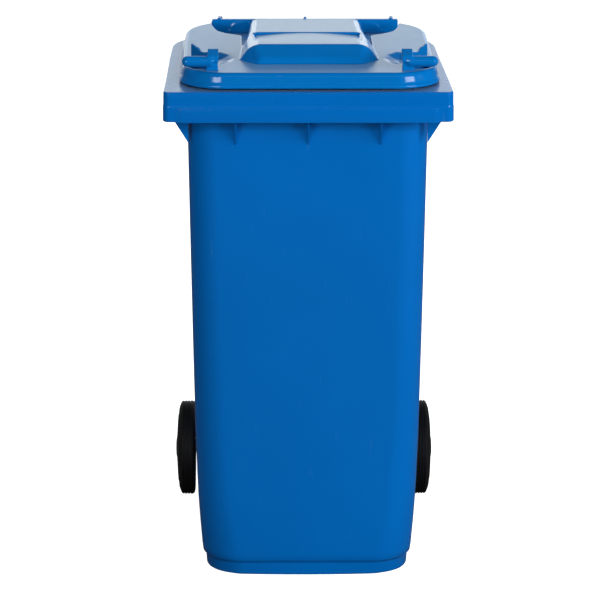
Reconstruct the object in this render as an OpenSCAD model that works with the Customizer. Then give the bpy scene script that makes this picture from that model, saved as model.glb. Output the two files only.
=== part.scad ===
// Two-wheeled refuse bin of the 240 litre class, drawn closed and standing on
// its base. Millimetres, +Z up, front towards -Y, origin under the middle of
// the whole bin. Depths below (y) are counted back from the front of the rim.

/* [Rim and lid] */
// Width over the rim at the front
rim_w = 574; // [566:1:582]
// Height of the rim's top face
rim_h = 1023; // [1015:1:1031]
// Depth of the rim from its front to its rear skirt
rim_d = 615; // [609:1:621]
// Drop of the skirt that hangs from the rim
skirt_drop = 60; // [48:1:64]
// Height of the lid's flat deck above the rim's top face
deck_rise = 34; // [30:1:38]
// Side play taken up by the lid on its hinge pins
lid_shift = 4; // [0:0.5:5]
// Height of the hood's nose above the deck
hood_rise = 34; // [28:1:38]

/* [Tub] */
// Thickness of the tub's wall
wall = 4; // [3.5:0.5:5]
// Thickness of the lid's wall
lid_wall = 3.5; // [3:0.5:4]
// Thickness of the stiffening ribs under the rim
rib_t = 3.5; // [2.5:0.5:5]

/* [Handle and hinge] */
// Depth of the handle bar's axis, which is the hinge axis
hinge_y = 708; // [704:1:712]
// Height of the handle bar's axis
hinge_z = 1017; // [1014:1:1019]
// Diameter of the handle bar
grip_d = 30; // [28:1:32]
// Diameter of the hinge pin
pin_d = 12; // [10:0.5:13]

/* [Wheels] */
// Diameter over the tyre
tyre_d = 206; // [200:1:208]
// Depth of the axle behind the rim's front
axle_y = 566; // [562:1:570]
// Diameter of the axle rod
axle_d = 20; // [20:0.5:21]
// Travel of the spring-loaded lock pin in each wheel
lock_travel = 3; // [2.5:0.1:3]

/* [Chip nest] */
// Diameter of the round nest under the rim
nest_d = 30.2; // [29:0.1:31]
// Depth of the nest
nest_depth = 20; // [16:1:22]

/* [Hidden] */
$fn = 48;
depth = hinge_y + 16;            // rim front to the back of the hinge eyes
yo = -depth / 2;
rw = rim_w / 2;
deck_z = rim_h + deck_rise;
axle_z = tyre_d / 2;
eps = 0.01;
blue = [0.0, 0.40, 0.70];
lid_blue = [0.0, 0.43, 0.72];
black = [0.06, 0.06, 0.065];
grey = [0.14, 0.14, 0.15];
steel = [0.70, 0.71, 0.72];

// A plan outline with four round corners, anticlockwise from the front left.
// a and b are the half widths at the front and rear, f and r the front and
// rear depths, rf and rr the corner radii, n the steps of each corner.
function arc(cx, cy, r, a0, n) =
    [for (i = [0:n]) [cx + r * cos(a0 + 90 * i / n), cy + r * sin(a0 + 90 * i / n)]];
function outline(a, b, f, r, rf, rr, n = 7) = concat(
    arc(-a + rf, f + rf, rf, 180, n), arc(a - rf, f + rf, rf, 270, n),
    arc(b - rr, r - rr, rr, 0, n), arc(-b + rr, r - rr, rr, 90, n));

// A solid lofted through sections [z, outline], lowest first.
module loft(secs) {
    n = len(secs[0][1]);
    m = len(secs);
    polyhedron(
        points = [for (s = secs) for (p = s[1]) [p[0], p[1], s[0]]],
        faces = concat(
            [[for (i = [0:n - 1]) i]],
            [[for (i = [n - 1:-1:0]) (m - 1) * n + i]],
            [for (k = [0:m - 2]) for (i = [0:n - 1])
                [k * n + i, (k + 1) * n + i, (k + 1) * n + (i + 1) % n]],
            [for (k = [0:m - 2]) for (i = [0:n - 1])
                [k * n + i, (k + 1) * n + (i + 1) % n, k * n + (i + 1) % n]]));
}

// A plate standing across X: its outline is given as [y, z] pairs.
module plate_x(x, t, pts) {
    translate([x - t / 2, 0, 0]) rotate([90, 0, 90]) linear_extrude(height = t) polygon(pts);
}
// A plate standing across Y: its outline is given as [x, z] pairs.
module plate_y(y, t, pts) {
    translate([0, y + t / 2, 0]) rotate([90, 0, 0]) linear_extrude(height = t) polygon(pts);
}
// A round bar along X between two x positions.
module bar_x(x0, x1, y, z, r) {
    translate([min(x0, x1), y, z]) rotate([0, 90, 0]) cylinder(r = r, h = abs(x1 - x0));
}
// A body of revolution about the wheel axis, profile as [radius, x] pairs.
module turned_x(pts) {
    translate([0, axle_y, axle_z]) rotate([0, 90, 0]) rotate_extrude($fn = 96) polygon(pts);
}

// ---------------------------------------------------------------- body ----
// Tub sections: [z, half width, front, rear, front radius, rear radius].
// A narrower foot band, a ledge, then walls that open upwards; the rear wall
// steps forward low down to make room for the axle.
TUB = [
    [0, 204, 42, 497, 40, 40],
    [4, 208, 38, 501, 44, 44],
    [25, 209.5, 37, 503, 45, 45],
    [31, 215, 32, 508, 50, 48],
    [45, 217, 31.5, 509, 51, 48],
    [95, 221, 32.5, 511, 52, 48],
    [150, 224.5, 34, 512, 53, 48],
    [215, 227, 35.5, 514, 54, 50],
    [285, 229.5, 37, 553, 55, 52],
    [480, 233.5, 40, 559, 56, 56],
    [700, 237.5, 43, 566, 58, 62],
    [900, 241, 46, 572, 60, 68],
    [rim_h, 243, 48, 576, 62, 74]];
function tub_sec(s, d) = outline(s[1] - d, s[1] - d - 3, s[2] + d, s[3] - d, s[4] - d, s[5] - d);
tub_out = [for (s = TUB) [s[0], tub_sec(s, 0)]];
tub_in = concat([[6, tub_sec(TUB[1], wall + 1)], [26, tub_sec(TUB[2], wall)]],
    [for (i = [3:len(TUB) - 1]) [TUB[i][0] + (i == len(TUB) - 1 ? 1 : i == 7 || i == 8 ? 4 : 2), tub_sec(TUB[i], wall)]]);

function rim_line(d) = outline(rw - d, rw - 4 - d, 2 + d, rim_d - d, 14 - d, 160 - d, 12);

// The rim: a top flange, a skirt all round, and the lifting comb's thicker
// edge along the front.
module rim() {
    translate([0, 0, rim_h - 4]) linear_extrude(height = 4) polygon(rim_line(0));
    translate([0, 0, rim_h - skirt_drop]) linear_extrude(height = skirt_drop) difference() {
        polygon(rim_line(0));
        polygon(rim_line(3.5));
    }
    translate([-262, 2, rim_h - 61.5]) cube([524, 3.5, 12.5]);
    translate([-253, 0, rim_h - 61.5]) cube([506, 5.5, 30]);
}

// Ribs that carry the rim's skirt on the tub's walls.
module ribs() {
    for (x = [-145, 0, 145])
        plate_x(x, rib_t, [[3, rim_h - 60], [50 - 2, 900], [50 - 2, rim_h - 1], [3, rim_h - 1]]);
    for (s = [-1, 1]) for (y = [60, 200, 340])
        plate_y(y, rib_t, [[s * (rw - 16), rim_h - skirt_drop + 1], [s * 238, 908], [s * 238, rim_h - 1],
                           [s * (rw - 2), rim_h - 1], [s * (rw - 2), rim_h - skirt_drop + 1]]);
    for (x = [-90, 0, 90])
        plate_x(x, rib_t, [[rim_d - 2, rim_h - skirt_drop + 1], [571, 915], [571, rim_h - 1], [rim_d - 2, rim_h - 1]]);
}

// One bracket of the rear handle, from the rim to the bar.
module bracket(x, t) {
    plate_x(x, t, [[570, rim_h - 2], [570, 930], [rim_d, rim_h - skirt_drop - 2], [hinge_y - 6, hinge_z - 15],
                   [hinge_y + 6, hinge_z - 12], [hinge_y + 6, hinge_z + 12],
                   [hinge_y - 8, hinge_z + 13], [rim_d + 25, rim_h - 4], [rim_d, rim_h - 2]]);
    bar_x(x - t / 2, x + t / 2, hinge_y, hinge_z, 16);
}
module handle() {
    for (s = [-1, 1]) {
        bracket(s * 16, 12);
        bracket(s * 162, 12);
        bracket(s * 198, 6);
        bar_x(s * 12, s * 166, hinge_y, hinge_z, grip_d / 2);
    }
}

// One plate of the axle housing behind the tub.
module axle_lug(x) {
    plate_x(x, 12, [[500, 45], [506, 45], [axle_y + 8, axle_z - 26], [axle_y + 20, axle_z - 8],
                    [axle_y + 20, axle_z + 12], [axle_y + 8, axle_z + 26], [520, 216], [500, 216]]);
}

module body_tub() {
    color(blue) translate([0, yo, 0]) difference() {
        union() {
            loft(tub_out);
            rim();
            ribs();
            handle();
            for (x = [-210, -96, 96, 210]) axle_lug(x);
            translate([215, 26, rim_h - nest_depth - 6]) cylinder(d = nest_d + 7, h = nest_depth + 4);
        }
        loft(tub_in);
        for (s = [-1, 1]) bar_x(s * 149, s * 210, hinge_y, hinge_z, pin_d / 2 + 0.03);
        bar_x(-240, 240, axle_y, axle_z, axle_d / 2 + 0.15);
        translate([215, 26, rim_h - nest_depth - 7]) cylinder(d = nest_d, h = nest_depth + 1);
    }
}

// ----------------------------------------------------------------- lid ----
// Lid sections, counted from the skirt's lower edge to the deck.
LID = [
    [rim_h + 3, 261.5, 256.5, 18.5, 588, 91, 136],
    [rim_h + 8, 261.5, 256.5, 18.5, 588, 91, 136],
    [rim_h + 10, 259, 254, 21, 586, 90, 134],
    [deck_z - 9, 256.5, 252, 23.5, 583, 88, 132],
    [deck_z - 3, 254, 250, 26, 580.5, 86, 130],
    [deck_z, 249, 246, 31, 576, 81, 126]];
function lid_sec(s, d) = outline(s[1] - d, s[2] - d, s[3] + d, s[4] - d, s[5] - d, s[6] - d, 9);
lid_out = [for (s = LID) [s[0], lid_sec(s, 0)]];
lid_in = [[rim_h + 2, lid_sec(LID[2], lid_wall)], [rim_h + 10, lid_sec(LID[2], lid_wall)],
          [deck_z - 9, lid_sec(LID[3], lid_wall)], [deck_z - lid_wall, lid_sec(LID[5], lid_wall - 0.5)]];

// The hood: highest at its nose, falling back to the hinge side.
module hood(d) {
    zr = rim_h + 35 - d;
    hull() for (s = [-1, 1]) {
        for (p = [[s * (105 - d), 109 + d, deck_z - 6], [s * (140 - d), 224 + d, deck_z - 6],
                  [s * (122 - d), 592 - d, deck_z - 6], [s * (116 - d), 150 + d, deck_z + hood_rise - d],
                  [s * (104 - d), 592 - d, zr]])
            translate(p) cube(0.02, center = true);
    }
}

// The hollow beside the hood and in front of the rear wall, left-hand side.
VALLEY = [[-135, 290], [-130, 290], [-117, 578], [-200, 578], [-200, 548], [-196, 515], [-190, 478], [-183, 452],
          [-170, 430], [-154, 412], [-140, 402]];
// The well under each corner grip.
WELL = [[-246, 88], [-232, 66], [-206, 66], [-206, 108], [-160, 108], [-160, 186], [-246, 186]];
module dish(pts, floor_z, d) {
    translate([0, 0, floor_z - d]) linear_extrude(height = deck_z + 1 - floor_z + (d > 0 ? -2 : 60))
        offset(delta = d) polygon(pts);
}

// One corner grip: a bar, the boss at its inner end and the fin behind.
module corner_grip() {
    bar_x(-255.5, -200, 58, deck_z + 15.7, 11.3);
    translate([-204, 50, deck_z - 3]) cube([22, 34, 37]);
    translate([-205, 78, 0]) rotate([0, 0, 115]) translate([-4, 0, 0])
        plate_y(0, 6, [[0, deck_z - 24], [74, deck_z - 24], [74, deck_z + 34], [68, deck_z + 34], [36, deck_z + 29], [0, deck_z + 32]]);
}

// One hinge arm: a web behind the rear wall and the eye on the hinge pin.
module arm(x) {
    plate_x(x, 6, [[582, rim_h + 6], [582, rim_h + 38], [600, rim_h + 39], [640, rim_h + 30],
                   [hinge_y - 6, hinge_z + 15.5], [hinge_y - 10, hinge_z - 8], [648, rim_h - 2 + 6], [618, rim_h + 6]]);
    bar_x(x - 6, x + 6, hinge_y, hinge_z, 16);
}

module lid() {
    color(lid_blue) translate([lid_shift, yo, 0]) difference() {
        union() {
            difference() {
                union() {
                    difference() {
                        union() { loft(lid_out); hood(0); }
                        loft(lid_in);
                        hood(lid_wall);
                    }
                    for (s = [0, 1]) mirror([s, 0, 0]) {
                        dish(VALLEY, rim_h + 7, lid_wall);
                        dish(WELL, rim_h + 11, lid_wall);
                    }
                }
                for (s = [0, 1]) mirror([s, 0, 0]) {
                    dish(VALLEY, rim_h + 7, 0);
                    dish(WELL, rim_h + 11, 0);
                }
            }
            translate([-198, 578, rim_h + 3]) cube([396, 14, 32]);
            for (s = [0, 1]) mirror([s, 0, 0]) { corner_grip(); arm(-183); }
            plate_x(0, 5, [[590, rim_h + 6], [590, rim_h + 39], [601, rim_h + 38], [606, rim_h + 6]]);
            // ribs under the deck that rest on the rim
            for (s = [-1, 1]) for (y = [150, 400])
                translate([s * 247 - 3, y, rim_h + 0.4]) cube([6, 4, deck_rise - 3]);
        }
        for (s = [-1, 1]) bar_x(s * 165, s * 200, hinge_y, hinge_z, pin_d / 2 + 0.08);
    }
}

// A hinge pin: shank with a chamfered nose and a flat round head outside.
module hinge_pin(s) {
    color(blue) translate([0, yo, 0]) {
        bar_x(s * 152, s * 202, hinge_y, hinge_z, pin_d / 2);
        translate([s * 152, hinge_y, hinge_z]) rotate([0, -90 * s, 0]) cylinder(r1 = pin_d / 2, r2 = pin_d / 2 - 1.5, h = 2);
        translate([s * 201.4, hinge_y, hinge_z]) rotate([0, 90 * s, 0]) cylinder(r = 8, h = 1.8);
        translate([s * 203.2, hinge_y, hinge_z]) rotate([0, 90 * s, 0]) cylinder(r1 = 8, r2 = 6.5, h = 1.3);
    }
}
module hinge_pin_left() { hinge_pin(-1); }
module hinge_pin_right() { hinge_pin(1); }

// -------------------------------------------------------------- wheels ----
// The axle: a plain rod with a lock groove near each end.
module axle() {
    r = axle_d / 2;
    color(steel) translate([0, yo, 0]) turned_x([
        [0, -274], [r - 1.5, -274], [r, -272.5], [r, -270.5], [r - 2.5, -270.5], [r - 2.5, -261.5], [r, -261.5],
        [r, 261.5], [r - 2.5, 261.5], [r - 2.5, 270.5], [r, 270.5], [r, 272.5], [r - 1.5, 274], [0, 274]]);
}

// The hub moulding of the right-hand wheel: sleeve, dished disc with a ribbed
// inner side, and the seat for the tyre.
module hub_r() {
    difference() {
        union() {
            turned_x([[axle_d / 2 + 0.08, 238], [21, 238], [21, 258], [25, 262], [25, 274.5], [72, 272], [76, 270],
                      [76, 243], [82, 243], [82, 273.5], [79, 274.5], [72, 276.5], [60, 277.5], [26, 279.5],
                      [axle_d / 2 + 0.08, 279.5]]);
            for (a = [22.5:45:360]) translate([0, axle_y, axle_z]) rotate([a, 0, 0])
                translate([246, -1.75, 20]) cube([28, 3.5, 57.5]);
        }
        translate([276.5, axle_y, axle_z]) rotate([0, 90, 0]) cylinder(r = 22.3, h = 5);
        translate([238, axle_y, axle_z]) rotate([0, 90, 0]) cylinder(r = axle_d / 2 + 0.08, h = 40);
        translate([261.7, axle_y - 4.1, axle_z]) cube([15, 8.2, 20.6]);
    }
}
module wheel_hub_left() { color(grey) translate([0, yo, 0]) mirror([1, 0, 0]) hub_r(); }
module wheel_hub_right() { color(grey) translate([0, yo, 0]) hub_r(); }

// The solid rubber tyre of the right-hand wheel, with ridges round the tread.
module tyre_r() {
    R = tyre_d / 2;
    turned_x([[82, 242], [84, 240.5], [R - 9, 239], [R - 3, 240.5], [R - 0.8, 243], [R, 246.5], [R, 249], [R - 1.6, 249.6],
              [R - 1.6, 251.4], [R, 252], [R, 255], [R - 1.6, 255.6], [R - 1.6, 257.4], [R, 258], [R, 261],
              [R - 1.6, 261.6], [R - 1.6, 263.4], [R, 264], [R - 0.3, 266], [R - 2.5, 269], [R - 8, 271.5], [88, 274],
              [84, 274.6], [82, 274.4]]);
}
module tyre_left() { color(black) translate([0, yo, 0]) mirror([1, 0, 0]) tyre_r(); }
module tyre_right() { color(black) translate([0, yo, 0]) tyre_r(); }

// The cap snapped into the hub over the axle's end and the lock.
module cap_r() {
    turned_x([[0, 276.6], [22, 276.6], [22, 279.4], [20.5, 280.6], [15, 281.3], [14.2, 280.9], [6, 281.4], [0, 281.5]]);
}
module hub_cap_left() { color(grey) translate([0, yo, 0]) mirror([1, 0, 0]) cap_r(); }
module hub_cap_right() { color(grey) translate([0, yo, 0]) cap_r(); }

// The lock pin: its nose drops in the axle's groove and keeps the wheel on.
module lock_r() {
    translate([0, axle_y, axle_z]) {
        translate([262, -4, 8]) cube([8, 8, 7.4]);
        translate([269.9, -4, 11]) cube([6.2, 8, 4.4]);
    }
}
module lock_pin_left() { color(steel) translate([0, yo, 0]) mirror([1, 0, 0]) lock_r(); }
module lock_pin_right() { color(steel) translate([0, yo, 0]) lock_r(); }

// The coil spring above the lock pin.
SP_T = 3;      // turns
SP_N = 12;     // rings per turn
function coil(i) = let (a = 360 * i / SP_N, h = 4.1 * i / (SP_T * SP_N))
    [2.6 * cos(a), 2.6 * sin(a), 16 + h];
module spring_at(x) {
    m = SP_T * SP_N;
    pts = [for (i = [0:m]) let (c = coil(i), a = 360 * i / SP_N) for (k = [0:5])
        c + 0.4 * (cos(60 * k) * [cos(a), sin(a), 0] + sin(60 * k) * [0, 0, 1])];
    translate([x, axle_y, axle_z]) polyhedron(points = pts, faces = concat(
        [[0, 1, 2, 3, 4, 5]], [[for (k = [5:-1:0]) m * 6 + k]],
        [for (i = [0:m - 1]) for (k = [0:5]) [i * 6 + k, (i + 1) * 6 + k, (i + 1) * 6 + (k + 1) % 6]],
        [for (i = [0:m - 1]) for (k = [0:5]) [i * 6 + k, (i + 1) * 6 + (k + 1) % 6, i * 6 + (k + 1) % 6]]));
}
module lock_spring_left() { color(steel) translate([0, yo, 0]) spring_at(-266); }
module lock_spring_right() { color(steel) translate([0, yo, 0]) spring_at(266); }

body_tub();
lid();
hinge_pin_left();
hinge_pin_right();
axle();
wheel_hub_left();
wheel_hub_right();
tyre_left();
tyre_right();
hub_cap_left();
hub_cap_right();
lock_pin_left();
lock_pin_right();
lock_spring_left();
lock_spring_right();
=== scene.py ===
"""A two-wheeled refuse bin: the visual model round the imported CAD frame.

Shapes are worked out in millimetres, with y counted back from the front of the rim, and go to the row frame in metres.
"""
import math

import bmesh
import bpy
import numpy as np
from mathutils import Matrix, Vector


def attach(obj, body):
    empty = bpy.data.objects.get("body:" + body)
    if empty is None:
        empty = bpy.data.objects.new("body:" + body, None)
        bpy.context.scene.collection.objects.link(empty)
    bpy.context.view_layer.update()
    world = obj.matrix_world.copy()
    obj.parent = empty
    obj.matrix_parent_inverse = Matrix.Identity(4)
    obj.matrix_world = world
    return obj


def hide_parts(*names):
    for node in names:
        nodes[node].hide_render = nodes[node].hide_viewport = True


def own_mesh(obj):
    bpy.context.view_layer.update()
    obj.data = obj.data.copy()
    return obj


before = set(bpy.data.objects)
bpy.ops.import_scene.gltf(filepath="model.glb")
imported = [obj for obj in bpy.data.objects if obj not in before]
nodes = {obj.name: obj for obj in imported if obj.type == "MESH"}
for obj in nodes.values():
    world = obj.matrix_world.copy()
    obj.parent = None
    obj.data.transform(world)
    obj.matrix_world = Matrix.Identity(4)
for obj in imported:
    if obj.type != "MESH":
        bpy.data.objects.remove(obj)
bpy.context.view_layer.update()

YO = -362.0          # the rim's front in the row frame, mm
SHIFT = 4.0          # the lid sits this far to the right on its pins, mm


def row(p):
    """Millimetres, y from the rim's front, to metres in the row frame."""
    p = np.asarray(p, float)
    return (p + np.array([0.0, YO, 0.0])) / 1000.0


# ------------------------------------------------------------- the camera ----
YAW, PITCH, ROLL, FPX = 0.01305, 0.27341, 0.00186, 3363.5
CAM = (-0.100, (-6500.0 + YO) / 1000.0, 2.42127)
sy, cy, sp, cp = math.sin(YAW), math.cos(YAW), math.sin(PITCH), math.cos(PITCH)
fwd = Vector((sy * cp, cy * cp, -sp))
right = Vector((cy, -sy, 0.0))
up = right.cross(fwd)
r2 = right * math.cos(ROLL) + up * math.sin(ROLL)
u2 = up * math.cos(ROLL) - right * math.sin(ROLL)
cam_data = bpy.data.cameras.new("camera")
cam_data.sensor_width = 36.0
cam_data.sensor_fit = "HORIZONTAL"
cam_data.lens = FPX * 36.0 / 601.0
cam_data.clip_end = 60.0
cam = bpy.data.objects.new("camera", cam_data)
m3 = Matrix((r2, u2, -fwd)).transposed()
cam.matrix_world = Matrix.Translation(CAM) @ m3.to_4x4()
bpy.context.scene.collection.objects.link(cam)
bpy.context.scene.camera = cam


# ---------------------------------------------------- distance functions ----
def smin(a, b, k):
    h = np.clip(0.5 + 0.5 * (b - a) / k, 0.0, 1.0)
    return b + (a - b) * h - k * h * (1.0 - h)


def smax(a, b, k):
    return -smin(-a, -b, k)


def sstep(t):
    t = np.clip(t, 0.0, 1.0)
    return t * t * (3.0 - 2.0 * t)


def poly2(px, py, pts):
    """Signed distance to a polygon, negative inside."""
    d = np.full(np.broadcast(px, py).shape, 1e9, np.float32)
    s = np.ones(d.shape, np.float32)
    n = len(pts)
    for i in range(n):
        ax, ay = pts[i]
        bx, by = pts[i - 1]
        ex, ey = bx - ax, by - ay
        wx, wy = px - ax, py - ay
        t = np.clip((wx * ex + wy * ey) / (ex * ex + ey * ey), 0.0, 1.0)
        dx, dy = wx - ex * t, wy - ey * t
        d = np.minimum(d, dx * dx + dy * dy)
        c1, c2, c3 = py >= ay, py < by, ex * wy > ey * wx
        s = np.where((c1 & c2 & c3) | (~c1 & ~c2 & ~c3), -s, s)
    return s * np.sqrt(d)


def box3(x, y, z, x0, x1, y0, y1, z0, z1, r=0.0):
    """A box with its edges rounded by r."""
    qx = np.abs(x - (x0 + x1) / 2) - (x1 - x0) / 2 + r
    qy = np.abs(y - (y0 + y1) / 2) - (y1 - y0) / 2 + r
    qz = np.abs(z - (z0 + z1) / 2) - (z1 - z0) / 2 + r
    inside = np.minimum(np.maximum(qx, np.maximum(qy, qz)), 0.0)
    return inside + np.sqrt(np.maximum(qx, 0) ** 2 + np.maximum(qy, 0) ** 2 + np.maximum(qz, 0) ** 2) - r


def plan(x, y, a, b, f, r, rf, rr):
    """A plan outline with round corners, symmetric in x."""
    w = a + (b - a) * (y - f) / (r - f)
    yc, hd = (f + r) / 2, (r - f) / 2
    rad = np.where(y < yc, rf, rr)
    qx, qy = x - w + rad, np.abs(y - yc) - hd + rad
    return np.minimum(np.maximum(qx, qy), 0.0) + np.sqrt(np.maximum(qx, 0) ** 2 + np.maximum(qy, 0) ** 2) - rad


# ------------------------------------------------------------------ lid ----
VALLEY = [(134.5, 282), (124, 280), (112, 577.5), (199, 577.5), (200, 548), (196, 515), (190, 478), (183, 452),
          (170, 430), (155, 413), (141, 403.5), (136, 398), (134.5, 388)]
HOOD_WY = [200, 226, 250, 300, 350, 410, 500, 592]
HOOD_WX = [143.5, 140, 137.6, 133.0, 127.6, 123.4, 119.4, 116.5]
HOOK = [(582, 1029), (582, 1061), (600, 1062), (640, 1053), (702, 1032.5), (698, 1009), (648, 1027), (618, 1029)]


def lid_solid(x, y, z):
    """The lid's outside as a full body: deck, hood, valleys and wells. x is measured from its middle."""
    zc = np.clip(z, 1030.0, 1057.0)
    a = 258.8 - (zc - 1030.0) * 0.16
    b = 253.8 - (zc - 1030.0) * 0.15
    f = 21.2 + (zc - 1030.0) * 0.14
    r = 586.0 - (zc - 1030.0) * 0.2
    lip = 2.6 * sstep((1038.5 - z) / 7.5)
    out = plan(x, y, a, b, f, r, 89.0, 132.0) - lip
    dome = sstep((y - 18.0) / 230.0) * sstep((590.0 - y) / 200.0) * (1.0 - np.clip(x / 262.0, 0.0, 1.0) ** 2)
    deck = z - (1056.9 + 4.5 * dome)
    s = smax(out, deck, 9.0)
    # valleys beside the hood, and the wells of the corner grips
    v = smax(poly2(x, y, VALLEY) + 1.2, 1030.3 - z, 6.0)
    s = smax(s, -v, 4.5)
    w = smax(poly2(x, y, [(245, 94), (233, 74), (206, 72), (206, 186), (245, 186)]) + 1.0, 1034.3 - z, 9.0)
    s = smax(s, -w, 5.0)
    w = smax(poly2(x, y, [(210, 112), (180, 118), (164, 140), (159, 164), (168, 192), (184, 214), (210, 190)]) + 2.0,
             1044.0 - z + (x - 205.0) * -0.24, 22.0)
    s = smax(s, -w, 17.0)
    # the hood
    top = y * 0.0745 + z * 0.9972 - (150.0 * 0.0745 + 1091.0 * 0.9972)
    low = top + (1.6 + 5.4 * (x / 108.0) ** 2) * sstep((113.0 - x) / 10.0) * sstep((y - 185.0) / 150.0)
    top = smin(low, np.maximum(top, 350.0 - y), 1.2)
    flank = (x - 141.5) * 0.822 + (y - 224.0) * 0.030 + (z - 1052.0) * 0.568
    wall = (x - np.interp(y, HOOD_WY, HOOD_WX) + (z - 1057.0) * 0.08) * 0.99
    side = smax(flank, wall, 9.0)
    low_face = (y - 107.5) * -0.94 + (z - 1057.0) * 0.34
    high_face = (y - 149.0) * -0.50 + (z - 1091.0) * 0.866
    cheek = (x - 110.0) * 0.651 + (y - 111.0) * -0.544 + (z - 1057.0) * 0.531
    front = smax(smax(high_face, low_face, 6.0), cheek, 5.0)
    h = smax(top, side, 19.0)
    h = smax(h, front, 3.5)
    h = np.maximum(h, y - 586.0)
    return smin(s, h, 4.0)


def lid_sdf(x, y, z):
    x = np.abs(x)
    s = lid_solid(x, y, z)
    d = np.maximum(s, -(s + 3.5))
    # stiffening ribs on the hollow side
    inner = s + 1.5
    ribs = np.minimum(np.abs(x - 60.0) - 1.3, np.abs(y - 330.0) - 1.3)
    ribs = np.maximum(ribs, np.maximum(x - 112.0, np.maximum(225.0 - y, y - 560.0)))
    ribs = np.maximum(np.maximum(ribs, inner), -(s + 9.0))
    d = smin(d, ribs, 1.5)
    # the rear wall across the hinge side, and the ribs that rest on the rim
    d = smin(d, box3(x, y, z, -198.5, 198.5, 578, 592, 1026.5, 1058.3, 2.6), 2.5)
    d = np.minimum(d, np.maximum(box3(x, y, z, 244, 250, 150, 154, 1023.5, 1052, 0.8), s + 1.0))
    d = np.minimum(d, np.maximum(box3(x, y, z, 244, 250, 400, 404, 1023.5, 1052, 0.8), s + 1.0))
    d = smax(d, 1026.2 - z + np.where((np.abs(x - 247) < 5) & ((np.abs(y - 152) < 4) | (np.abs(y - 402) < 4)), -2.7, 0.0)
             + np.where(y > 595, -60.0, 0.0), 2.2)
    # corner grips: bar, boss and fin
    t = np.clip(x, 200.0, 243.8)
    bar = np.sqrt((x - t) ** 2 + (y - 58.0) ** 2 + (z - 1074.2) ** 2) - 10.9
    head = box3(x, y, z, 182.2, 203.6, 49.5, 84.0, 1073.5, 1096.0, 1.2)
    head = smax(head, (z - 1086.8) * 0.93 - (y - 52.0) * 0.37, 1.4)
    head = smax(head, (z - 1080.0) * 0.30 - (y - 49.5) * 0.95, 2.0)
    foot = box3(x, y, z, 183.4, 205.5, 52.5, 82.0, 1052.0, 1077.0, 1.2) + (z - 1064.0) * 0.03
    boss = smin(head, foot, 2.0)
    u = (x - 205.0) * 0.4226 + (y - 78.0) * 0.9063
    w = (x - 205.0) * 0.9063 - (y - 78.0) * 0.4226
    fin = smax(np.abs(w) - 3.1, np.abs(u - 32.5) - 39.0, 1.6)
    ft = 1089.6 - 3.2 * np.sin(np.clip(u / 46.0, 0, 1) * math.pi) + 3.4 * np.clip((u - 30.0) / 36.0, 0, 1.1) ** 1.5
    fin = smax(fin, z - ft, 1.6)
    fin = np.maximum(fin, 1033.5 - z)
    g = smin(smin(bar, boss, 4.0), fin, 2.5)
    d = smin(d, g, 3.0)
    # hinge arms with their eyes, and the rib at the middle of the rear wall
    web = smax(poly2(y, z, HOOK), np.abs(x - 183.0) - 3.0, 1.6)
    ry = np.sqrt((y - 708.0) ** 2 + (z - 1017.0) ** 2)
    eye = smax(ry - 16.0, np.abs(x - 183.0) - 6.0, 1.8)
    d = smin(d, smin(web, eye, 3.0), 2.5)
    d = smin(d, smax(poly2(y, z, [(588, 1029), (588, 1062), (601, 1061), (606, 1029)]), x - 2.5, 1.5), 2.0)
    return np.maximum(d, -np.maximum(ry - 6.09, np.abs(x - 183.0) - 14.0))


def surface_nets(values, origin, h):
    """Vertices and quads of the zero level of a grid of values."""
    inside = values < 0
    nx, ny, nz = values.shape
    c = inside[:-1, :-1, :-1].astype(np.uint8)
    for dx in (0, 1):
        for dy in (0, 1):
            for dz in (0, 1):
                if dx or dy or dz:
                    c = c + inside[dx:nx - 1 + dx, dy:ny - 1 + dy, dz:nz - 1 + dz]
    cells = np.argwhere((c > 0) & (c < 8))
    index = np.full((nx - 1, ny - 1, nz - 1), -1, np.int64)
    index[cells[:, 0], cells[:, 1], cells[:, 2]] = np.arange(len(cells))
    total = np.zeros((len(cells), 3))
    count = np.zeros(len(cells))
    corners = [(i, j, k) for i in (0, 1) for j in (0, 1) for k in (0, 1)]
    for p in corners:
        for q in corners:
            if sum(q) - sum(p) == 1 and sum(abs(a - b) for a, b in zip(p, q)) == 1:
                va = values[cells[:, 0] + p[0], cells[:, 1] + p[1], cells[:, 2] + p[2]]
                vb = values[cells[:, 0] + q[0], cells[:, 1] + q[1], cells[:, 2] + q[2]]
                cross = (va < 0) != (vb < 0)
                t = np.where(cross, va / np.where(cross, va - vb, 1.0), 0.0)
                point = np.array(p)[None, :] + (np.array(q) - np.array(p))[None, :] * t[:, None]
                total += point * cross[:, None]
                count += cross
    verts = (cells + total / count[:, None]) * h + np.array(origin)[None, :]
    quads = []
    for axis in range(3):
        o1, o2 = (axis + 1) % 3, (axis + 2) % 3
        a = np.take(inside, range(0, values.shape[axis] - 1), axis=axis)
        b = np.take(inside, range(1, values.shape[axis]), axis=axis)
        edge = np.argwhere(a != b)
        ok = (edge[:, o1] > 0) & (edge[:, o2] > 0) & (edge[:, o1] < values.shape[o1] - 1) & (edge[:, o2] < values.shape[o2] - 1)
        edge = edge[ok]
        first = a[edge[:, 0], edge[:, 1], edge[:, 2]]
        e1, e2 = np.zeros(3, int), np.zeros(3, int)
        e1[o1] = 1
        e2[o2] = 1
        ring = []
        for off in (np.zeros(3, int), e1, e1 + e2, e2):
            cc = edge - off
            ring.append(index[cc[:, 0], cc[:, 1], cc[:, 2]])
        ring = np.stack(ring, 1)
        ring = np.where(first[:, None], ring[:, [0, 3, 2, 1]], ring)
        quads.append(ring)
    return verts, np.concatenate(quads)[:, ::-1]


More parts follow.
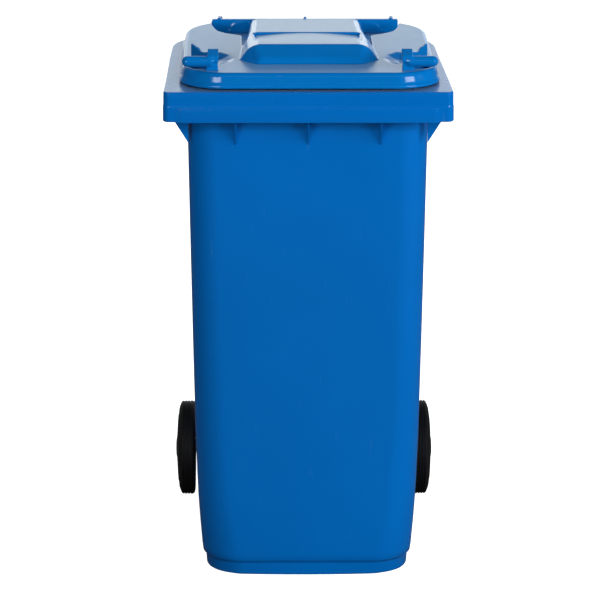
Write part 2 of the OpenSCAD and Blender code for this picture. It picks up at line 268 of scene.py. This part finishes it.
def gradient(fn, p, e=0.25):
    out = np.zeros_like(p)
    for k in range(3):
        q = p.copy()
        q[:, k] += e
        hi = fn(q[:, 0], q[:, 1], q[:, 2])
        q[:, k] -= 2 * e
        out[:, k] = (hi - fn(q[:, 0], q[:, 1], q[:, 2])) / (2 * e)
    return out


def make_mesh(name, verts, faces):
    me = bpy.data.meshes.new(name)
    me.from_pydata([tuple(v) for v in verts], [], [tuple(int(i) for i in f) for f in faces])
    me.update()
    ob = bpy.data.objects.new(name, me)
    bpy.context.scene.collection.objects.link(ob)
    return ob


def apply_all(ob):
    """Applies every modifier."""
    dg = bpy.context.evaluated_depsgraph_get()
    dg.update()
    me = bpy.data.meshes.new_from_object(ob.evaluated_get(dg))
    old = ob.data
    ob.modifiers.clear()
    ob.data = me
    me.name = old.name
    bpy.data.meshes.remove(old)
    return ob


def build_lid():
    h = 2.15
    xs = np.arange(-1, int(266 / h) + 2) * h + h / 2      # half of the lid, mirrored below
    ys = np.arange(14.0, 730.0, h)
    zs = np.arange(998.0, 1097.0, h)
    half = np.empty((len(xs), len(ys), len(zs)), np.float32)
    Y, Z = np.meshgrid(ys.astype(np.float32), zs.astype(np.float32), indexing="ij")
    step = 16
    for i in range(0, len(xs), step):
        X = xs[i:i + step].astype(np.float32)[:, None, None]
        half[i:i + step] = lid_sdf(X, Y[None], Z[None])
    half = half[1:]
    values = np.concatenate([half[::-1], half], 0)
    origin = (-xs[-1], ys[0], zs[0])
    verts, quads = surface_nets(values, origin, h)
    for _ in range(3):
        f = lid_sdf(verts[:, 0], verts[:, 1], verts[:, 2])
        g = gradient(lid_sdf, verts)
        n2 = np.maximum((g ** 2).sum(1), 0.25)
        move = -g * (f / n2)[:, None]
        length = np.sqrt((move ** 2).sum(1))
        move *= np.minimum(1.0, h * 0.5 / np.maximum(length, 1e-9))[:, None]
        verts = verts + move
    ob = make_mesh("lid_shell", verts, quads)
    me = ob.data
    limit = 185_000
    tris = len(me.polygons) * 2
    if tris > limit:
        md = ob.modifiers.new("thin", "DECIMATE")
        md.ratio = limit / tris
        md.use_collapse_triangulate = True
        apply_all(ob)
        me = ob.data
    co = np.zeros(len(me.vertices) * 3)
    me.vertices.foreach_get("co", co)
    co = co.reshape(-1, 3)
    g = gradient(lid_sdf, co, 0.4)
    g /= np.maximum(np.sqrt((g ** 2).sum(1)), 1e-9)[:, None]
    place = co.copy()
    place[:, 0] += SHIFT - 3.2 * sstep((co[:, 1] - 30.0) / 380.0) * (1.0 - sstep((co[:, 1] - 590.0) / 40.0))
    me.vertices.foreach_set("co", row(place).ravel())
    me.polygons.foreach_set("use_smooth", [True] * len(me.polygons))
    me.update()
    me.normals_split_custom_set_from_vertices([tuple(v) for v in g])
    me.update()
    return ob


# ----------------------------------------------------------------- body ----
TUB = [
    [4, 208, 38, 501, 78, 44], [24.2, 209.4, 37.1, 503, 79, 45], [25.6, 209.9, 36.6, 503.6, 79.3, 45.3],
    [30.2, 214.2, 32.7, 507.4, 81, 47.6], [31.8, 215.2, 31.95, 508.2, 81, 48.1],
    [45, 217, 31.5, 509, 80, 48], [95, 221, 32.5, 511, 75, 48], [150, 224.5, 34, 512, 70, 48],
    [210, 226.9, 35.4, 513.8, 66, 50], [218, 227.1, 35.6, 516.5, 66, 50], [282, 229.4, 36.9, 551, 63, 52],
    [290, 229.6, 37.1, 553.3, 62.5, 52], [480, 233.5, 40, 559, 59, 56],
    [700, 237.5, 43, 566, 59, 62], [900, 241, 46, 572, 60, 68], [1016, 242.9, 47.9, 575.8, 62, 74]]
NARC = 14


def outline(a, b, f, r, rf, rr):
    pts = []
    for cx, cyy, rad, a0 in ((-a + rf, f + rf, rf, 180), (a - rf, f + rf, rf, 270), (b - rr, r - rr, rr, 0), (-b + rr, r - rr, rr, 90)):
        for i in range(NARC + 1):
            t = math.radians(a0 + 90 * i / NARC)
            pts.append((cx + rad * math.cos(t), cyy + rad * math.sin(t)))
    full = []
    for i, p in enumerate(pts):
        q = pts[(i + 1) % len(pts)]
        full.append(p)
        if i % (NARC + 1) == NARC:
            for k in range(1, 6):
                full.append((p[0] + (q[0] - p[0]) * k / 6, p[1] + (q[1] - p[1]) * k / 6))
    return full


def tub(s, d=0.0, dz=0.0):
    return s[0] + dz, outline(s[1] - d, s[1] - d - 3, s[2] + d, s[3] - d, s[4] - d, s[5] - d)


def rim_half(y):
    return 288.4 + (278.0 - 288.4) * (y - 2.0) / 613.0


def rim(z, d):
    return z, outline(288.4 - d, 278.0 - d, 2 + d, 615 - d, 14 - d, 158 - d)


def sweep(sections, name):
    """A closed body through rings, capped at both ends."""
    n = len(sections[0][1])
    verts = [(x, y, z) for z, ring in sections for x, y in ring]
    faces = []
    for k in range(len(sections) - 1):
        for i in range(n):
            j = (i + 1) % n
            faces.append((k * n + i, k * n + j, (k + 1) * n + j, (k + 1) * n + i))
    faces.append(tuple(range(n))[::-1])
    m = (len(sections) - 1) * n
    faces.append(tuple(m + i for i in range(n)))
    return make_mesh(name, verts, faces)


def base_at(z, d):
    return z, outline(207.5 - d, 204.5 - d, 38.5 + d, 500.5 - d, 77.5 - d, 43.5 - d)


def body_sections():
    s = [base_at(3.2, 24), base_at(2.8, 19), base_at(0.6, 15.5), base_at(0.05, 13.5), base_at(0.0, 4), base_at(0.5, 1.4), base_at(1.8, 0.3)]
    s += [tub(t) for t in TUB]
    top = TUB[-1]
    s += [(1018.3, tub(top, -0.9)[1]), (1019.0, tub(top, -3.0)[1]), rim(1019.0, 6.5), rim(1018.2, 4.8), rim(1016.0, 4.2), rim(965.0, 3.9),
          rim(963.6, 3.5), rim(962.9, 2.7), rim(962.8, 1.6), rim(963.4, 0.7), rim(964.6, 0.1), rim(967.0, 0.0), rim(992.6, 0.25), rim(993.7, 0.35),
          rim(994.8, 0.8), rim(995.9, 0.95), rim(1008.0, 1.1), rim(1020.6, 1.25), rim(1021.7, 1.5), rim(1022.6, 2.15), rim(1022.95, 2.9), rim(1023.0, 3.8)]
    inner = [top[0], top[1], top[2], top[3], top[4], top[5]]
    s += [(1023.0, tub(inner, 1.0)[1]), (1022.6, tub(inner, 2.8)[1]), (1021.2, tub(inner, 3.8)[1])]
    for t in TUB[::-1]:
        if t[0] < 9:
            break
        bump = 4 if 205 < t[0] < 300 else 2
        s.append((t[0] + (bump if t[0] < 1000 else 0), tub(t, 4.0)[1]))
    low = TUB[0]
    s += [(12.0, tub(low, 5.0)[1]), (8.0, tub(low, 7.5)[1]), (6.2, tub(low, 12.0)[1]), (6.0, tub(low, 18.0)[1])]
    return s


def prism(name, pts, x0, x1, axis="x", bevel=0.8, segments=2):
    """A plate: pts are (y, z) pairs for axis x, (x, z) for y, (x, y) for z."""
    bm = bmesh.new()
    put = {"x": lambda p, t: (t, p[0], p[1]), "y": lambda p, t: (p[0], t, p[1]), "z": lambda p, t: (p[0], p[1], t)}[axis]
    lo = [bm.verts.new(put(p, x0)) for p in pts]
    hi = [bm.verts.new(put(p, x1)) for p in pts]
    bm.faces.new(lo[::-1])
    bm.faces.new(hi)
    for i in range(len(pts)):
        j = (i + 1) % len(pts)
        bm.faces.new((lo[i], lo[j], hi[j], hi[i]))
    bmesh.ops.recalc_face_normals(bm, faces=bm.faces)
    if bevel:
        edges = [e for e in bm.edges if len(e.link_faces) == 2 and e.calc_face_angle() > 0.5]
        bmesh.ops.bevel(bm, geom=edges, offset=bevel, segments=segments, profile=0.5, affect="EDGES", clamp_overlap=True)
        bmesh.ops.recalc_face_normals(bm, faces=bm.faces)
    me = bpy.data.meshes.new(name)
    bm.to_mesh(me)
    bm.free()
    ob = bpy.data.objects.new(name, me)
    bpy.context.scene.collection.objects.link(ob)
    return ob


def lathe(name, profile, centre=(566.0, 103.0), n=96, side=1):
    """A closed body turned about an axis along X. profile is (radius, x) pairs, which don't start and end on the axis."""
    verts, faces = [], []
    m = len(profile)
    for i in range(n):
        t = 2 * math.pi * i / n
        for r, x in profile:
            verts.append((side * x, centre[0] + r * math.cos(t), centre[1] + r * math.sin(t)))
    for i in range(n):
        j = (i + 1) % n
        for k in range(m):
            q = (k + 1) % m
            faces.append((i * m + k, i * m + q, j * m + q, j * m + k))
    ob = make_mesh(name, verts, faces)
    tidy(ob)
    return ob


def tidy(ob):
    bm = bmesh.new()
    bm.from_mesh(ob.data)
    bmesh.ops.remove_doubles(bm, verts=bm.verts, dist=0.0005)
    bmesh.ops.recalc_face_normals(bm, faces=bm.faces)
    bm.to_mesh(ob.data)
    bm.free()


def turned_bar(name, x0, x1, y, z, profile, n=48):
    """A closed round bar along X: profile is (x, radius) pairs from end to end."""
    verts, faces = [], []
    for x, r in profile:
        for i in range(n):
            t = 2 * math.pi * i / n
            verts.append((x, y + r * math.cos(t), z + r * math.sin(t)))
    for k in range(len(profile) - 1):
        for i in range(n):
            j = (i + 1) % n
            faces.append((k * n + i, k * n + j, (k + 1) * n + j, (k + 1) * n + i))
    faces.append(tuple(range(n))[::-1])
    m = (len(profile) - 1) * n
    faces.append(tuple(m + i for i in range(n)))
    ob = make_mesh(name, verts, faces)
    tidy(ob)
    return ob


def combine(target, others, operation):
    for o in others:
        md = target.modifiers.new("join", "BOOLEAN")
        md.operation = operation
        md.solver = "MANIFOLD"
        md.object = o
        apply_all(target)
        bpy.data.objects.remove(o)
    return target


def bracket(x, t, name):
    pts = [(573, 1021), (573, 931), (615, 968), (650, 985), (702, 1002), (714, 1004), (720, 1010), (721, 1018), (718, 1026),
           (710, 1030), (700, 1030), (672, 1024), (640, 1019), (615, 1021.5)]
    return prism(name, pts, x - t / 2, x + t / 2, "x", 1.8, 3)


def build_body():
    body = sweep(body_sections(), "body_shell")
    tidy(body)
    add = []
    for x in (-145, 0, 145):
        add.append(prism("rib", [(3.9, 964), (49.5, 902), (49.5, 1021), (3.9, 1021)], x - 1.75, x + 1.75, "x", 0.5, 1))
    for s in (-1, 1):
        for y in (60, 200, 340):
            e = rim_half(y) - 2.6
            add.append(prism("gusset", [(s * e, 964.6), (s * 274, 963.8), (s * 239, 908), (s * 239, 1021), (s * e, 1021)],
                             y - 1.75, y + 1.75, "y", 0.5, 1))
    for x in (-90, 0, 90):
        add.append(prism("rib", [(613, 971.5), (572, 915), (572, 1021), (613, 1021)], x - 1.75, x + 1.75, "x", 0.5, 1))
    # the comb's thicker edge along the front
    band = [(-262, 4.4), (-256, 1.9), (-250.5, 1.0), (250.5, 1.0), (256, 1.9), (262, 4.4), (262, 5.6), (-262, 5.6)]
    add.append(prism("comb_band", band, 961.4, 991.5, "z", 0.8, 3))
    for s in (-1, 1):
        for x, t in ((16, 12), (162, 12), (198, 6)):
            add.append(bracket(s * x, t, "bracket"))
        lo, hi = sorted((s * 12, s * 166))
        add.append(turned_bar("grip", lo, hi, 708, 1017, [(lo, 13), (lo + 0.6, 14.4), (lo + 2, 15), (hi - 2, 15), (hi - 0.6, 14.4), (hi, 13)]))
        for x in (22.5, 155.5):
            q = s * x
            lo, hi = q - 4.5, q + 4.5
            add.append(turned_bar("collar", lo, hi, 708, 1017, [(lo, 15.2), (lo + 1.5, 16.6), (lo + 3.5, 17.2), (hi - 3.5, 17.2), (hi - 1.5, 16.6), (hi, 15.2)]))
    for x in (-210, -96, 96, 210):
        pts = [(501, 46), (507, 46), (574, 77.5), (586, 95), (586, 115), (574, 128.5), (521, 215), (501, 215)]
        add.append(prism("axle_lug", pts, x - 6, x + 6, "x", 1.8, 3))
    for x in (-153, 153):
        pts = [(501, 128), (507, 128), (551, 118), (553, 121), (520, 190), (501, 200)]
        add.append(prism("axle_rib", pts, x - 2, x + 2, "x", 0.8, 2))
    nest = prism("nest", [(215 + 18.6 * math.cos(a), 26 + 18.6 * math.sin(a)) for a in np.linspace(0, 2 * math.pi, 49)[:-1]], 997.5, 1021, "z", 0.0)
    add.append(nest)
    combine(body, add, "UNION")
    cut = []
    for s in (-1, 1):
        lo, hi = sorted((s * 148, s * 222))
        cut.append(turned_bar("bore", lo, hi, 708, 1017, [(lo, 6.07), (hi, 6.07)], 64))
    cut.append(turned_bar("bore", -240, 240, 566, 103, [(-240, 10.2), (240, 10.2)], 96))
    cut.append(prism("bore", [(215 + 15.12 * math.cos(a), 26 + 15.12 * math.sin(a)) for a in np.linspace(0, 2 * math.pi, 65)[:-1]], 990, 1017, "z", 0.0))
    combine(body, cut, "DIFFERENCE")
    me = body.data
    co = np.zeros(len(me.vertices) * 3)
    me.vertices.foreach_get("co", co)
    co = co.reshape(-1, 3)
    lean = sstep((co[:, 1] - 40.0) / 380.0) * (1.0 - sstep((co[:, 1] - 560.0) / 60.0)) * sstep((np.abs(co[:, 0]) - 252.0) / 12.0)
    co[:, 0] -= 3.2 * lean * (co[:, 2] > 955.0)
    # the foot's front is slightly bowed
    bow = np.clip(1.0 - (co[:, 0] / 165.0) ** 2, 0.0, 1.0) * (1.0 - sstep(co[:, 2] / 27.0)) * (co[:, 1] < 43.0) * (co[:, 2] < 27.0)
    co[:, 1] -= 7.0 * bow
    me.vertices.foreach_set("co", row(co).ravel())
    bm = bmesh.new()
    bm.from_mesh(me)
    bmesh.ops.dissolve_degenerate(bm, edges=bm.edges, dist=1e-6)
    bmesh.ops.triangulate(bm, faces=[f for f in bm.faces if len(f.verts) > 4])
    bm.to_mesh(me)
    bm.free()
    smooth(body, 32)
    return body


def smooth(ob, degrees):
    me = ob.data
    me.polygons.foreach_set("use_smooth", [True] * len(me.polygons))
    me.set_sharp_from_angle(angle=math.radians(degrees))
    me.update()


# ------------------------------------------------------------ materials ----
def material(name):
    m = bpy.data.materials.new(name)
    m.use_nodes = True
    nt = m.node_tree
    nt.nodes.clear()
    out = nt.nodes.new("ShaderNodeOutputMaterial")
    p = nt.nodes.new("ShaderNodeBsdfPrincipled")
    nt.links.new(p.outputs[0], out.inputs[0])
    tc = nt.nodes.new("ShaderNodeTexCoord")
    return m, nt, p, tc


def noise(nt, tc, scale, detail=2.0, rough=0.5, distortion=0.0):
    n = nt.nodes.new("ShaderNodeTexNoise")
    n.inputs["Scale"].default_value = scale
    n.inputs["Detail"].default_value = detail
    n.inputs["Roughness"].default_value = rough
    n.inputs["Distortion"].default_value = distortion
    nt.links.new(tc.outputs["Object"], n.inputs["Vector"])
    return n


def ramp(nt, src, stops):
    r = nt.nodes.new("ShaderNodeValToRGB")
    e = r.color_ramp.elements
    while len(e) < len(stops):
        e.new(0.5)
    for i, (pos, col) in enumerate(stops):
        e[i].position = pos
        e[i].color = (*col, 1.0) if len(col) == 3 else col
    nt.links.new(src, r.inputs[0])
    return r


def blend_rgb(nt, fac, a, b):
    m = nt.nodes.new("ShaderNodeMix")
    m.data_type = "RGBA"
    nt.links.new(fac, m.inputs[0])
    nt.links.new(a, m.inputs[6])
    nt.links.new(b, m.inputs[7])
    return m.outputs[2]


def bump(nt, p, parts):
    """A chain of bumps: (height socket, strength, distance in metres)."""
    last = None
    for src, strength, distance in parts:
        b = nt.nodes.new("ShaderNodeBump")
        b.inputs["Strength"].default_value = strength
        b.inputs["Distance"].default_value = distance
        nt.links.new(src, b.inputs["Height"])
        if last is not None:
            nt.links.new(last, b.inputs["Normal"])
        last = b.outputs[0]
    nt.links.new(last, p.inputs["Normal"])


def blue_plastic(name, dark, light, rough=(0.17, 0.25), ior=1.48, top=0.0):
    m, nt, p, tc = material(name)
    big = noise(nt, tc, 2.2, 3.0, 0.55)
    col = ramp(nt, big.outputs[0], [(0.3, dark), (0.7, light)])
    # faint scuffs: thin stretched marks that are a little paler and duller
    mp = nt.nodes.new("ShaderNodeMapping")
    mp.inputs["Scale"].default_value = (26.0, 26.0, 3.2)
    mp.inputs["Rotation"].default_value = (0.35, 0.2, 0.5)
    nt.links.new(tc.outputs["Object"], mp.inputs["Vector"])
    sc = nt.nodes.new("ShaderNodeTexNoise")
    sc.inputs["Scale"].default_value = 5.0
    sc.inputs["Detail"].default_value = 4.0
    nt.links.new(mp.outputs[0], sc.inputs["Vector"])
    mask = ramp(nt, sc.outputs[0], [(0.66, (0, 0, 0)), (0.76, (1, 1, 1))])
    paler = nt.nodes.new("ShaderNodeMix")
    paler.data_type = "RGBA"
    paler.blend_type = "MIX"
    paler.inputs[0].default_value = 0.12
    nt.links.new(col.outputs[0], paler.inputs[6])
    paler.inputs[7].default_value = (0.05, 0.22, 0.50, 1.0)
    c = blend_rgb(nt, mask.outputs[0], col.outputs[0], paler.outputs[2])
    # painted reflection: faces that point up are blended 30% toward a pale grey-blue, standing in for the pale
    # backdrop mirrored in the top
    face = nt.nodes.new("ShaderNodeSeparateXYZ")
    nt.links.new(tc.outputs["Normal"], face.inputs[0])
    top_reflection_mask = nt.nodes.new("ShaderNodeMapRange")
    top_reflection_mask.inputs["From Min"].default_value = 0.972
    top_reflection_mask.inputs["From Max"].default_value = 0.995
    top_reflection_mask.inputs["To Max"].default_value = 0.30
    nt.links.new(face.outputs["Z"], top_reflection_mask.inputs["Value"])
    painted_top_reflection = nt.nodes.new("ShaderNodeMix")
    painted_top_reflection.data_type = "RGBA"
    nt.links.new(top_reflection_mask.outputs[0], painted_top_reflection.inputs[0])
    nt.links.new(c, painted_top_reflection.inputs[6])
    # the pale grey-blue of the painted reflection on upward faces
    painted_top_reflection.inputs[7].default_value = (0.30, 0.41, 0.43, 1.0)
    nt.links.new(painted_top_reflection.outputs[2], p.inputs["Base Color"])
    fine = noise(nt, tc, 60.0, 2.0)
    rr = nt.nodes.new("ShaderNodeMapRange")
    rr.inputs["To Min"].default_value = rough[0]
    rr.inputs["To Max"].default_value = rough[1]
    nt.links.new(fine.outputs[0], rr.inputs["Value"])
    add = nt.nodes.new("ShaderNodeMath")
    add.operation = "MULTIPLY_ADD"
    nt.links.new(mask.outputs[0], add.inputs[0])
    add.inputs[1].default_value = 0.10
    # upward faces carry a fine grain and are duller
    lie = nt.nodes.new("ShaderNodeSeparateXYZ")
    nt.links.new(tc.outputs["Normal"], lie.inputs[0])
    grain = nt.nodes.new("ShaderNodeMapRange")
    grain.interpolation_type = "SMOOTHSTEP"
    grain.inputs["From Min"].default_value = 0.972
    grain.inputs["From Max"].default_value = 0.995
    grain.inputs["To Max"].default_value = top
    nt.links.new(lie.outputs["Z"], grain.inputs["Value"])
    duller = nt.nodes.new("ShaderNodeMath")
    duller.operation = "ADD"
    nt.links.new(rr.outputs[0], duller.inputs[0])
    nt.links.new(grain.outputs[0], duller.inputs[1])
    nt.links.new(duller.outputs[0], add.inputs[2])
    nt.links.new(add.outputs[0], p.inputs["Roughness"])
    sheen = nt.nodes.new("ShaderNodeMapRange")
    sheen.inputs["From Min"].default_value = 0.972
    sheen.inputs["From Max"].default_value = 0.995
    sheen.inputs["To Min"].default_value = 0.28
    sheen.inputs["To Max"].default_value = 0.60
    nt.links.new(lie.outputs["Z"], sheen.inputs["Value"])
    nt.links.new(sheen.outputs[0], p.inputs["Specular IOR Level"])
    p.inputs["IOR"].default_value = ior
    peel = noise(nt, tc, 420.0, 2.0)
    wave = noise(nt, tc, 14.0, 2.0)
    bump(nt, p, [(wave.outputs[0], 0.05, 0.002), (peel.outputs[0], 0.10, 0.0002)])
    return m


def black_rubber(name):
    m, nt, p, tc = material(name)
    big = noise(nt, tc, 9.0, 4.0, 0.6)
    col = ramp(nt, big.outputs[0], [(0.35, (0.0040, 0.0040, 0.0043)), (0.75, (0.0100, 0.0100, 0.0105))])
    nt.links.new(col.outputs[0], p.inputs["Base Color"])
    rr = nt.nodes.new("ShaderNodeMapRange")
    rr.inputs["To Min"].default_value = 0.50
    rr.inputs["To Max"].default_value = 0.72
    nt.links.new(big.outputs[0], rr.inputs["Value"])
    nt.links.new(rr.outputs[0], p.inputs["Roughness"])
    p.inputs["Specular IOR Level"].default_value = 0.30
    fine = noise(nt, tc, 900.0, 3.0)
    bump(nt, p, [(fine.outputs[0], 0.35, 0.0004)])
    return m


def black_plastic(name):
    m, nt, p, tc = material(name)
    big = noise(nt, tc, 14.0, 3.0)
    col = ramp(nt, big.outputs[0], [(0.3, (0.008, 0.008, 0.009)), (0.75, (0.016, 0.016, 0.0175))])
    nt.links.new(col.outputs[0], p.inputs["Base Color"])
    rr = nt.nodes.new("ShaderNodeMapRange")
    rr.inputs["To Min"].default_value = 0.34
    rr.inputs["To Max"].default_value = 0.50
    nt.links.new(big.outputs[0], rr.inputs["Value"])
    nt.links.new(rr.outputs[0], p.inputs["Roughness"])
    p.inputs["Specular IOR Level"].default_value = 0.35
    fine = noise(nt, tc, 700.0, 2.0)
    bump(nt, p, [(fine.outputs[0], 0.25, 0.0004)])
    return m


def steel(name, colour, rough=(0.22, 0.42), grain=(900.0, 6.0, 6.0)):
    m, nt, p, tc = material(name)
    mp = nt.nodes.new("ShaderNodeMapping")
    mp.inputs["Scale"].default_value = grain
    nt.links.new(tc.outputs["Object"], mp.inputs["Vector"])
    g = nt.nodes.new("ShaderNodeTexNoise")
    g.inputs["Scale"].default_value = 1.0
    g.inputs["Detail"].default_value = 3.0
    nt.links.new(mp.outputs[0], g.inputs["Vector"])
    big = noise(nt, tc, 40.0, 4.0)
    col = ramp(nt, big.outputs[0], [(0.3, tuple(c * 0.82 for c in colour)), (0.75, colour)])
    nt.links.new(col.outputs[0], p.inputs["Base Color"])
    p.inputs["Metallic"].default_value = 1.0
    rr = nt.nodes.new("ShaderNodeMapRange")
    rr.inputs["To Min"].default_value = rough[0]
    rr.inputs["To Max"].default_value = rough[1]
    nt.links.new(g.outputs[0], rr.inputs["Value"])
    nt.links.new(rr.outputs[0], p.inputs["Roughness"])
    bump(nt, p, [(g.outputs[0], 0.12, 0.0003)])
    return m


BODY_BLUE = blue_plastic("blue_body", (0.0, 0.112, 0.405), (0.0, 0.124, 0.45), rough=(0.13, 0.20), top=0.12)
LID_BLUE = blue_plastic("blue_lid", (0.0, 0.128, 0.41), (0.0, 0.140, 0.445), rough=(0.10, 0.16), top=0.18)
PIN_BLUE = blue_plastic("blue_pin", (0.0, 0.09, 0.33), (0.0, 0.105, 0.38), rough=(0.35, 0.5))
RUBBER = black_rubber("tyre_rubber")
HUB = black_plastic("black_hub")
ZINC = steel("zinc_steel", (0.62, 0.63, 0.64))
SPRING = steel("spring_steel", (0.55, 0.56, 0.57), (0.18, 0.30), (60.0, 60.0, 60.0))


def paint(ob, mat):
    ob.data.materials.clear()
    ob.data.materials.append(mat)


def paint_node(ob, mat):
    if not ob.material_slots:
        ob.data.materials.append(mat)
    for s in ob.material_slots:
        s.material = mat


# --------------------------------------------------------------- pieces ----
lid = build_lid()
paint(lid, LID_BLUE)
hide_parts("lid")
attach(lid, "lid_body")

body = build_body()
paint(body, BODY_BLUE)
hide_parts("body_tub")
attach(body, "bin_body")

paint_node(nodes["axle"], ZINC)
for side in ("left", "right"):
    paint_node(nodes["hinge_pin_" + side], PIN_BLUE)
    paint_node(nodes["wheel_hub_" + side], HUB)
    paint_node(nodes["hub_cap_" + side], HUB)
    paint_node(nodes["tyre_" + side], RUBBER)
    paint_node(nodes["lock_pin_" + side], SPRING)
    # a copy of the coil, attached to the wheel's body
    coil = bpy.data.objects.new("coil_" + side, nodes["lock_spring_" + side].data.copy())
    bpy.context.scene.collection.objects.link(coil)
    coil.matrix_world = nodes["lock_spring_" + side].matrix_world.copy()
    paint(coil, SPRING)
    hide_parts("lock_spring_" + side)
    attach(coil, "wheel_" + side)
    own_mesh(coil)

# ----------------------------------------------------- floor and studio ----
floor_me = bpy.data.meshes.new("studio_floor")
floor_me.from_pydata([(-14, -14, 0), (14, -14, 0), (14, 7, 0), (-14, 7, 0)], [], [(0, 1, 2, 3)])
floor = bpy.data.objects.new("studio_floor", floor_me)
bpy.context.scene.collection.objects.link(floor)
floor.location.z = -0.0006
fm, fnt, fp, ftc = material("floor_white")
fp.inputs["Base Color"].default_value = (0.60, 0.60, 0.60, 1.0)
fp.inputs["Roughness"].default_value = 0.9
fp.inputs["Specular IOR Level"].default_value = 0.0
fp.inputs["Emission Color"].default_value = (1.0, 1.0, 1.0, 1.0)
fp.inputs["Emission Strength"].default_value = 0.97
dim = fnt.nodes.new("ShaderNodeBsdfDiffuse")
dim.inputs[0].default_value = (0.06, 0.06, 0.06, 1.0)
flp = fnt.nodes.new("ShaderNodeLightPath")
fmix = fnt.nodes.new("ShaderNodeMixShader")
fout = next(n for n in fnt.nodes if n.type == "OUTPUT_MATERIAL")
fnt.links.new(flp.outputs["Is Camera Ray"], fmix.inputs[0])
fnt.links.new(dim.outputs[0], fmix.inputs[1])
fnt.links.new(fp.outputs[0], fmix.inputs[2])
fnt.links.new(fmix.outputs[0], fout.inputs[0])
floor_me.materials.append(fm)

world = bpy.data.worlds.new("studio")
bpy.context.scene.world = world
world.use_nodes = True
wt = world.node_tree
wt.nodes.clear()
wo = wt.nodes.new("ShaderNodeOutputWorld")
lp = wt.nodes.new("ShaderNodeLightPath")
seen = wt.nodes.new("ShaderNodeBackground")
seen.inputs[0].default_value = (1.0, 1.0, 1.0, 1.0)
seen.inputs[1].default_value = 1.0
room = wt.nodes.new("ShaderNodeBackground")
mix = wt.nodes.new("ShaderNodeMixShader")
wt.links.new(lp.outputs["Is Camera Ray"], mix.inputs[0])
wt.links.new(room.outputs[0], mix.inputs[1])
wt.links.new(seen.outputs[0], mix.inputs[2])
wt.links.new(mix.outputs[0], wo.inputs[0])
wc = wt.nodes.new("ShaderNodeTexCoord")
sep = wt.nodes.new("ShaderNodeSeparateXYZ")
wt.links.new(wc.outputs["Generated"], sep.inputs[0])
# a white backdrop low behind the object, and a dim room elsewhere


def band(src, a0, a1, v0, v1):
    n = wt.nodes.new("ShaderNodeMapRange")
    n.interpolation_type = "SMOOTHSTEP"
    n.inputs["From Min"].default_value = a0
    n.inputs["From Max"].default_value = a1
    n.inputs["To Min"].default_value = v0
    n.inputs["To Max"].default_value = v1
    wt.links.new(src, n.inputs["Value"])
    return n.outputs[0]


def maths(op, a, b):
    n = wt.nodes.new("ShaderNodeMath")
    n.operation = op
    for i, v in enumerate((a, b)):
        if isinstance(v, (int, float)):
            n.inputs[i].default_value = v
        else:
            wt.links.new(v, n.inputs[i])
    return n.outputs[0]


behind = band(sep.outputs["Y"], 0.76, 0.91, 0.0, 1.0)
above = band(sep.outputs["Z"], 0.26, 0.48, 1.0, 0.0)
below = band(sep.outputs["Z"], -0.19, -0.12, 0.0, 1.0)
aside = band(maths("ABSOLUTE", sep.outputs["X"], 0.0), 0.10, 0.30, 1.0, 0.45)
glow = maths("MULTIPLY", maths("MULTIPLY", behind, above), maths("MULTIPLY", below, 1.45))
glow = maths("MULTIPLY", glow, aside)
wt.links.new(maths("ADD", glow, 0.055), room.inputs[1])
room.inputs[0].default_value = (0.93, 1.0, 1.0, 1.0)


def softbox(name, place, aim, w, h, power, spread=180):
    d = bpy.data.lights.new(name, "AREA")
    d.shape = "RECTANGLE"
    d.size, d.size_y = w, h
    d.energy = power
    d.spread = math.radians(spread)
    o = bpy.data.objects.new(name, d)
    o.location = place
    o.rotation_euler = (Vector(aim) - Vector(place)).to_track_quat("-Z", "Y").to_euler()
    o.visible_camera = False
    bpy.context.scene.collection.objects.link(o)
    return o


softbox("softbox_left", (-1.95, -4.3, 1.80), (-0.1, 0.0, 1.0), 1.6, 0.85, 62)
softbox("softbox_right", (3.3, -3.8, 1.85), (0.1, 0.0, 1.0), 2.0, 0.85, 88)
fill = softbox("softbox_top", (0.25, -4.5, 3.1), (0.0, 0.0, 0.75), 2.4, 1.0, 92)
fill.visible_glossy = False
fill = softbox("softbox_side", (4.0, -1.5, 1.7), (0.1, 0.0, 0.7), 1.4, 1.4, 105)
fill.visible_glossy = False
fill = softbox("softbox_rear", (0.0, 3.0, 4.5), (0.0, 0.0, 1.0), 5.0, 1.5, 84)
fill.visible_glossy = False
for name, x in (("softbox_back_left", -3.2), ("softbox_back_right", 3.2)):
    fill = softbox(name, (x, 3.0, 2.6), (0.0, 0.2, 0.6), 1.6, 1.6, 60)
    fill.visible_glossy = False

bpy.context.scene.view_settings.view_transform = "Standard"
bpy.context.scene.view_settings.look = "None"
